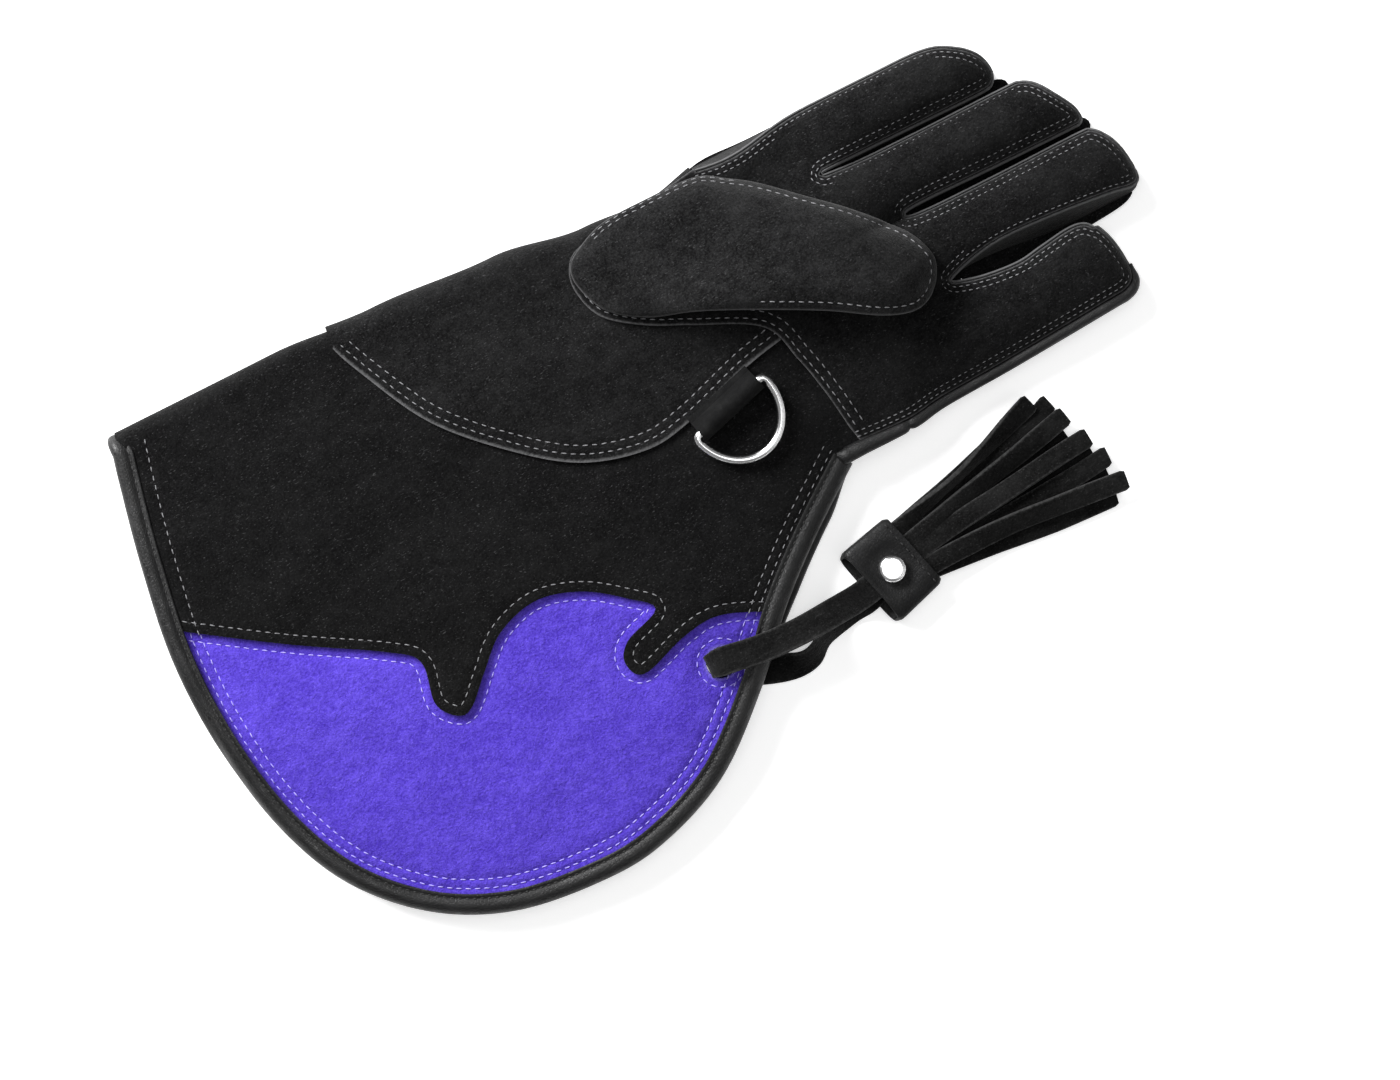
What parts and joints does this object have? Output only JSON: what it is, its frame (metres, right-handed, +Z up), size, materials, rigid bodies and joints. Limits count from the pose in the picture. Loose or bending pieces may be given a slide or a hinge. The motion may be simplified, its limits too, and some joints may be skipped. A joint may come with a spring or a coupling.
{
  "type": "falconry glove",
  "caption": "Left-hand falconry gauntlet of black suede with purple flame panels, a flared bound cuff, a swinging D-ring in a leather keeper and a fringed leather tassel.",
  "frame": {"origin": "under the middle of the whole glove, on the surface that it rests on", "axes": "+X along the glove from the cuff's mouth to the finger tips, +Y towards the thumb side, +Z up"},
  "size_m": [0.3768, 0.216, 0.0399],
  "materials": {
    "black_suede": "matt suede nap",
    "purple_suede": "matt suede nap",
    "strap_suede": "matt split suede",
    "smooth_leather": "satin smooth leather",
    "nickel": "bright nickel plate"
  },
  "bodies": {
    "glove": {"cuff_panel": "black_suede", "flame_panel_palm": "purple_suede", "flame_panel_back": "purple_suede", "cuff_binding_palm": "smooth_leather", "cuff_binding_back": "smooth_leather", "reinforcement": "black_suede", "little_finger_back": "black_suede", "palm_panel": "black_suede", "index_side": "black_suede", "fourchette_index_middle": "black_suede", "fourchette_middle_ring": "black_suede", "fourchette_ring_little": "black_suede", "thumb": "black_suede", "little_finger_piping": "smooth_leather", "ring_keeper": "smooth_leather", "tassel_sleeve": "smooth_leather", "tassel_strap": "strap_suede", "tassel_fringe": "strap_suede", "snap_cap_top": "nickel", "snap_cap_under": "nickel"},
    "d_ring": {"d_ring": "nickel"}
  },
  "joints": [
    {"name": "d_ring_swing", "type": "hinge", "parent": "glove", "child": "d_ring", "pos_m": [0.02368, 0.01877, 0.02477], "axis": [-0.9605, -0.2762, -0.0342], "range_deg": [0, 140]}
  ]
}
